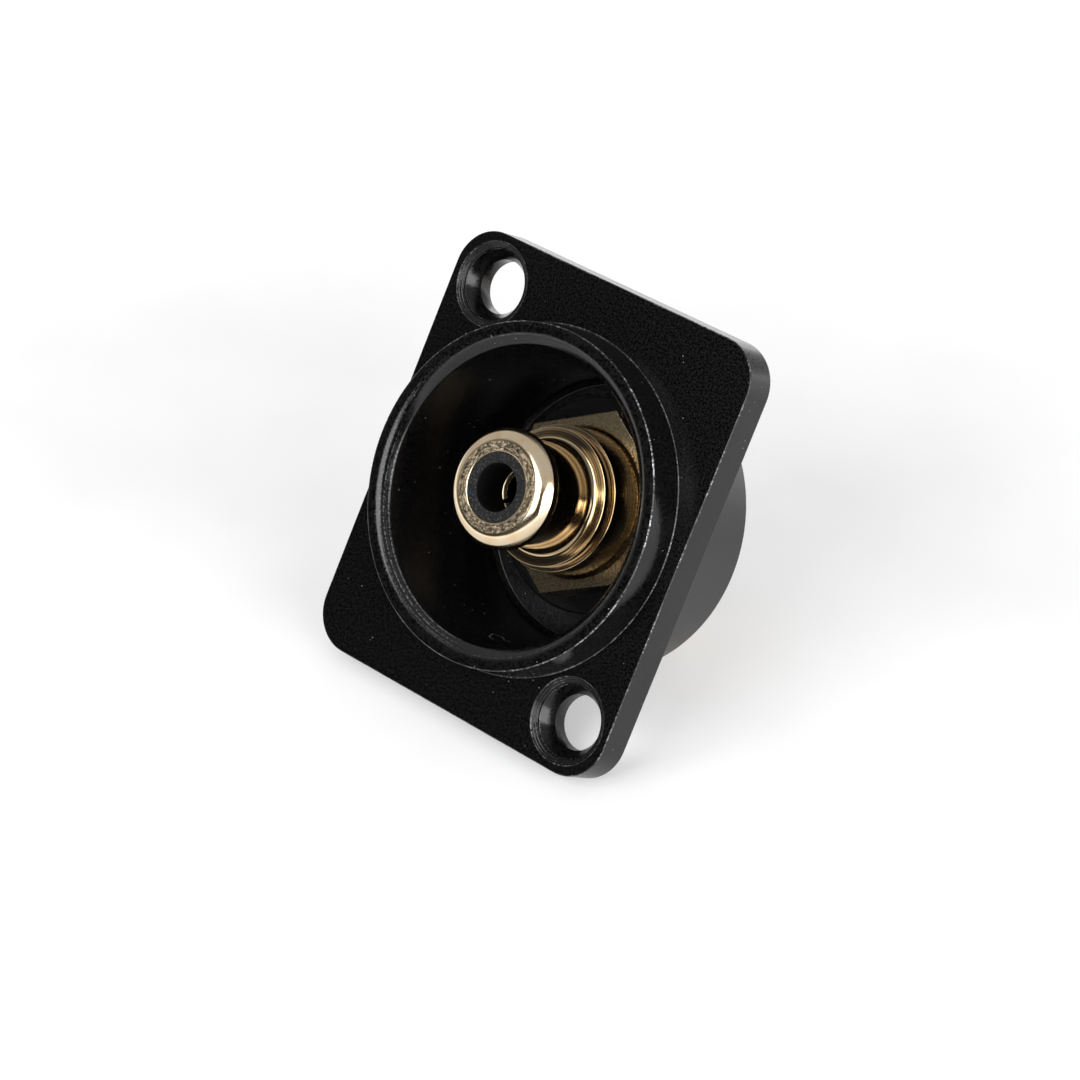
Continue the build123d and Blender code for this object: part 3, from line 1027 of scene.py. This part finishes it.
goldFinish = {
    "colour": (0.86, 0.71, 0.5, 1),
    "deep": (0.78, 0.58, 0.34, 1),
    # for stains and pits, and for painted shade on the hexagon and the collar
    "stainAndShade": (0.1, 0.075, 0.045, 1),
    # dark for the face ring: partly dirt, partly painted shade
    "grimeAndShade": (0.1, 0.08, 0.055, 1),
    # near black for the contact's bore: painted shade
    "boreShade": (0.008, 0.006, 0.004, 1),
    "satin": (0.82, 0.67, 0.42, 1),
    "roughness": 0.06,
    "patchScale": 0.8,
    "turningScale": 6,        # marks of the lathe
    "speckleScale": 5.5,
    "pitScale": 6,
    "faceGrimeAndShade": (0.85, 0.6),    # on the face ring, partly dirt and partly painted shade, and how much its scratches take off
    "hexStain": (0.1, 0.75),    # all over the hexagon, and what its pits add
    "hexShade": 0.6,          # its lower half is painted darker: painted shade
    # the collar is painted deeper: painted shade that tones down its reflection
    "collarShade": 0.8,
    "collarShadeRings": 0.7,       # painted shade in the collar's turning marks, which breaks up its reflection
    "bump": 0.3,
    "contactScale": 13,
    "contactRoughness": (0.16, 0.14),
    "contactBump": 0.15,
    "contactBoreShade": 0.97,
}


def makeGoldPlate(v):
    # polished all over but for the scratched face ring and the satin hexagon
    material, inMm, shader = newFinish("goldPlate")
    x, y, z, radius = splitPlace(inMm, socketRise)
    front = shellLow.y
    hexFront = front + shell["hexFront"]
    collarFront = front + shell["collarFront"]
    faceRing = radius.between(shell["faceRadius"] + 0.06, shell["faceRadius"] - 0.02) * radius.between(
        shell["mouthRadius"] + 0.05, shell["mouthRadius"] + 0.09) * y.between(front + 0.06, front + 0.01)
    beforeBarrel = y.between(hexFront + 0.3, hexFront + 0.15)
    hexagon = y.between(hexFront - 0.02, hexFront) * beforeBarrel
    fromNeck = y.between(collarFront - 0.9, collarFront - 0.5) * beforeBarrel
    collar = fromNeck * (1 - hexagon)
    # turning marks: noise that only varies with the radius and the distance along the axis
    turning = v["turningScale"]
    marks = inMm.node("CombineXYZ", None, {0: radius * turning, 1: y * turning}).noise(1.1, 3, 0.75)
    speckle = inMm.noise(v["speckleScale"], 2, 0.65)
    pits = inMm.dots(v["pitScale"], 0.5).most(speckle.between(0.52, 0.56))
    colour = inMm.noise(v["patchScale"], 3).between(0.35, 0.85).paint(v["colour"], v["deep"])
    # the face ring is painted dark, partly dirt and partly painted shade, broken by rings of scratches
    around = inMm.node("CombineXYZ", None, {0: radius * 1.7, 1: x * 0.4, 2: z * 0.4})
    scored = around.noise(5.5, 2, 0.7)
    darkening, scratchedOff = v["faceGrimeAndShade"]
    stained, pitStain = v["hexStain"]
    colour = (faceRing * (darkening - scratchedOff * scored.between(0.49, 0.57))).paint(colour, v["grimeAndShade"])
    colour = (hexagon * 0.9).paint(colour, v["satin"])
    colour = (hexagon * (stained + pitStain * pits)).paint(colour, v["stainAndShade"])
    # painted shade: the hexagon's lower half is darker
    colour = (hexagon * z.between(3, -4) * v["hexShade"]).paint(colour, v["stainAndShade"])
    # painted shade on the collar: a deeper tone and dark rings in its turning marks
    colour = (collar * v["collarShade"]).paint(colour, v["deep"])
    colour = (collar * marks.between(0.48, 0.56) * v["collarShadeRings"]).paint(colour, v["stainAndShade"])
    connect(shader, "Base Color", colour)
    head = y.between(front + 2.2, front + 1.9)
    rough = v["roughness"] + 0.06 * (marks + head) + faceRing * (0.12 + 0.2 * pits)
    connect(shader, "Roughness", rough + hexagon * (0.1 + 0.12 * pits) + collar * 0.04)
    setAll(shader, {"Metallic": 1.0})
    height = marks * (0.25 + 0.6 * fromNeck) + scored * 1.5 * faceRing + speckle * (
        0.02 + 0.3 * faceRing + 0.5 * hexagon + 0.2 * fromNeck)
    addBump(shader, height, v["bump"], bumpHeight)
    return material


def makeContactGold(v):
    material, inMm, shader = newFinish("contactGold")
    _, y, _, radius = splitPlace(inMm, socketRise)
    speckle = inMm.noise(v["contactScale"], 3, 0.7)
    colour = speckle.between(0.45, 0.75).paint(v["colour"], v["deep"])
    # the contact's bore is painted near black: painted shade deep in the hole
    inside = radius.between(contact["radius"] - 0.1, contact["radius"] - 0.2) * y.between(
        contactLow.y + 0.22, contactLow.y + 0.5) * y.between(contactHigh.y - 5, contactHigh.y - 6)
    colour = (inside * v["contactBoreShade"]).paint(colour, v["boreShade"])
    connect(shader, "Base Color", colour)
    smooth, dull = v["contactRoughness"]
    connect(shader, "Roughness", smooth + dull * speckle)
    setAll(shader, {"Metallic": 1.0})
    addBump(shader, speckle + inMm.noise(3, 3), v["contactBump"], bumpHeight)
    return material


plasticFinish = {
    "charcoal": (0.0085, 0.0083, 0.0082, 1),
    "paleSpeck": (0.08, 0.078, 0.076, 1),
    "holeShade": (0.001, 0.001, 0.001, 1),
    "gloss": (0.0035, 0.0035, 0.0038, 1),
    "speckScale": 7,
    "grainScale": 6,
    "charcoalRoughness": (0.55, 0.2),
    "glossRoughness": (0.1, 0.1),
}


def makeCharcoal(v):
    # matt and speckled on the face; inside the pin hole it is painted black, painted shade
    material, inMm, shader = newFinish("charcoalPlastic")
    radius = splitPlace(inMm, socketRise)[3]
    patch = inMm.noise(v["speckScale"], 2, 0.7)
    specks = inMm.dots(v["speckScale"], 0.42) * patch.between(0.4, 0.55)
    # painted shade: the wall of the pin hole is black
    inside = radius.between(insulator["holeRadius"] + 0.06, insulator["holeRadius"] + 0.01)
    colour = inside.paint(specks.paint(v["charcoal"], v["paleSpeck"]), v["holeShade"])
    connect(shader, "Base Color", colour)
    smooth, dull = v["charcoalRoughness"]
    connect(shader, "Roughness", smooth + dull * patch)
    setAll(shader, {"Specular IOR Level": 0.2})
    addBump(shader, patch, 0.3, 0.03)
    return material


def makeBlackPlastic(v):
    material, inMm, shader = newFinish("blackPlastic")
    grain = inMm.noise(v["grainScale"], 2, 0.65)
    colour = grain.between(0.4, 0.8).paint(v["gloss"], v["charcoal"])
    connect(shader, "Base Color", colour)
    smooth, dull = v["glossRoughness"]
    connect(shader, "Roughness", smooth + dull * grain)
    addBump(shader, grain, 0.05, bumpHeight)
    return material


# pieces

print("modelling the housing")
place(makeHousing(housing), "housing", "black_anodised", makeBlackFinish(blackFinish))
print("modelling the socket shell")
goldPlate = makeGoldPlate(goldFinish)
place(makeShell(shell), "socket_shell", "gold_plate", goldPlate)
print("modelling the insulators and the contact")
charcoal = makeCharcoal(plasticFinish)
blackPlastic = makeBlackPlastic(plasticFinish)
contactGold = makeContactGold(goldFinish)
place(makeFrontInsulator(insulator), "front_insulator", "charcoal_plastic", charcoal)
place(makeRearInsulator(bush), "rear_insulator", "black_plastic", blackPlastic)
place(makeContact(contact), "centre_contact", "gold_contact", contactGold)
print("modelling the washers, the tag and the nut")
frontWasher = makeWasher("front_shoulder_washer_ring", frontWasherLow, frontWasherHigh, 1, washer)
place(frontWasher, "front_shoulder_washer", "black_plastic", blackPlastic)
rearWasher = makeWasher("rear_shoulder_washer_ring", rearWasherLow, rearWasherHigh, -1, washer)
place(rearWasher, "rear_shoulder_washer", "black_plastic", blackPlastic)
place(makeTag(tag), "solder_tag", "gold_contact", contactGold)
place(makeLockWasher(lock), "lock_washer", "gold_contact", contactGold)
place(makeNut(nut), "hex_nut", "gold_plate", goldPlate)


# floor, light and camera

print("setting the floor, the light and the camera")
stage = {
    "floorAngle": 31.4,      # the flange leans back until the cup's rear edge touches the floor
    "floorSize": 900,
    "floorColour": (0.88, 0.88, 0.89, 1),
    "floorShade": (0.8, 0.8, 0.81, 1),
    "paperScale": 60,         # its clouds, per metre
    "glowStrength": 1.9,      # the paper glows a little by itself
    "seenGlow": (0.19, 0.42),    # as the camera sees it, near the part and far away
    "mirroredGlow": (0.03, 0.42, 1.0),    # as the part mirrors it: under, around, far behind
    "farAway": (0.045, 0.11),    # in metres from the part, where near turns into far
    "farBehind": (0.1, 0.3),
    "roomStrength": 0.5,
    "darkDirection": 12,     # the dim side of the room, in degrees round from the front
    "darkHeight": 40,        # and how high it reaches, in degrees
    "darkFade": (0.12, 0.08),    # above and below that height, in radians
    "darkSpread": (0.3, 0.6),    # cosines of the angles off its middle where it ends and is full
    "darkStrength": 0.02,
}
# places are degrees round from the front, degrees up from the floor and mm away,
# and the power is in watts for each square metre of the lamp
lamps = {
    "frontLight": {"place": (0, 35, 420), "size": (290, 240), "power": 17.6},
    "sideLight": {"place": (80, 16, 420), "size": (370, 270), "power": 16.0},
}
photoView = {
    "place": (145.97, -209.05, 36.06),
    "turn": (80.73, -21.56, 38.29),
    "lens": 127.245,
    "sensorWidth": 36,
}


def makeFloor(v):
    deselectAll()
    lean = math.radians(v["floorAngle"])
    bpy.ops.mesh.primitive_plane_add(
        size=v["floorSize"] * mm, location=(0, 0, -housingHigh.z * mm), rotation=(lean, 0, 0))
    floor = bpy.context.object
    floor.name = "floor"
    material = bpy.data.materials.new("floorPaper")
    material.use_nodes = True
    tree = material.node_tree
    shader = next(n for n in tree.nodes if n.type == "BSDF_PRINCIPLED")
    output = next(n for n in tree.nodes if n.type == "OUTPUT_MATERIAL")
    setAll(shader, {"Roughness": 0.9})
    start = Wire(tree)
    inMetres = start.node("TexCoord", None, None, "Object")
    clouds = inMetres.noise(v["paperScale"], 4).between(0.3, 0.8)
    connect(shader, "Base Color", clouds.paint(v["floorColour"], v["floorShade"]))
    underside = start.node("NewGeometry", None, None, "Backfacing")
    clear = start.node("BsdfTransparent")
    glow = start.node("Emission", None, {"Color": (1, 1, 1, 1), "Strength": v["glowStrength"]})
    seen = start.node("LightPath", None, None, "Is Camera Ray")
    mirrored = start.node("LightPath", None, None, "Is Glossy Ray")
    distance = inMetres.node("VectorMath", {"operation": "LENGTH"}, {0: inMetres}, "Value")
    away = distance.between(*v["farAway"])
    behindPart = start.node("SeparateXYZ", None, {0: inMetres}, 1).between(*v["farBehind"])
    seenNear, seenFar = v["seenGlow"]
    under, near, far = v["mirroredGlow"]
    share = seen * (seenNear + away * (seenFar - seenNear)) + mirrored * (
        under + away * (near - under) + behindPart * (far - near))
    paper = start.node("MixShader", None, {0: share, 1: Wire(tree, shader.outputs[0]), 2: glow})
    shown = start.node("MixShader", None, {0: underside, 1: paper, 2: clear})
    tree.links.new(shown.socket, output.inputs["Surface"])
    floor.data.materials.append(material)


def roomDirection(around, up):
    # a direction of the room, in which the floor is level, as one of the leaning part
    around, up = math.radians(around), math.radians(up)
    level = Vector((math.sin(around) * math.cos(up), -math.cos(around) * math.cos(up), math.sin(up)))
    return Matrix.Rotation(math.radians(stage["floorAngle"]), 3, "X") @ level


def makeSky(v):
    world = bpy.data.worlds.new("studio")
    bpy.context.scene.world = world
    world.use_nodes = True
    tree = world.node_tree
    background = next(n for n in tree.nodes if n.type == "BACKGROUND")
    start = Wire(tree)
    direction = start.node("TexCoord", None, None, "Generated")

    def towards(way):
        inputs = {0: direction, 1: tuple(way.normalized())}
        return direction.node("VectorMath", {"operation": "DOT_PRODUCT"}, inputs, "Value")

    height = towards(roomDirection(0, 90))
    top = math.radians(v["darkHeight"])
    fadeAbove, fadeBelow = v["darkFade"]
    low = height.between(math.sin(top + fadeAbove), math.sin(top - fadeBelow))
    shade = towards(roomDirection(v["darkDirection"], 0)).between(*v["darkSpread"]) * low
    room = v["roomStrength"] + shade * (v["darkStrength"] - v["roomStrength"])
    light = room + height.between(0.0, -0.04) * (1 - room)
    seen = start.node("LightPath", None, None, "Is Camera Ray")
    strength = light + seen * (1 - light)
    tree.links.new(strength.socket, background.inputs["Strength"])
    background.inputs["Color"].default_value = (1, 1, 1, 1)


def makeLamp(name, v):
    around, up, distance = v["place"]
    width, height = v["size"]
    lamp = bpy.data.lights.new(name, "AREA")
    lamp.shape = "RECTANGLE"
    lamp.size, lamp.size_y = width * mm, height * mm
    lamp.energy = v["power"] * lamp.size * lamp.size_y
    light = bpy.data.objects.new(name, lamp)
    bpy.context.scene.collection.objects.link(light)
    back = roomDirection(around, up)
    across = roomDirection(0, 90).cross(back).normalized()
    light.location = back * distance * mm
    light.rotation_euler = Matrix((across, back.cross(across), back)).transposed().to_euler()


def makeCamera(v):
    camera = bpy.data.objects.new("camera", bpy.data.cameras.new("camera"))
    bpy.context.scene.collection.objects.link(camera)
    camera.location = Vector(v["place"]) * mm
    camera.rotation_euler = [math.radians(angle) for angle in v["turn"]]
    camera.data.lens = v["lens"]
    camera.data.sensor_width = v["sensorWidth"]
    camera.data.clip_start = 0.01
    bpy.context.scene.camera = camera


makeFloor(stage)
makeSky(stage)
for name, values in lamps.items():
    makeLamp(name, values)
makeCamera(photoView)
bpy.context.scene.view_settings.view_transform = "Standard"

deselectAll()
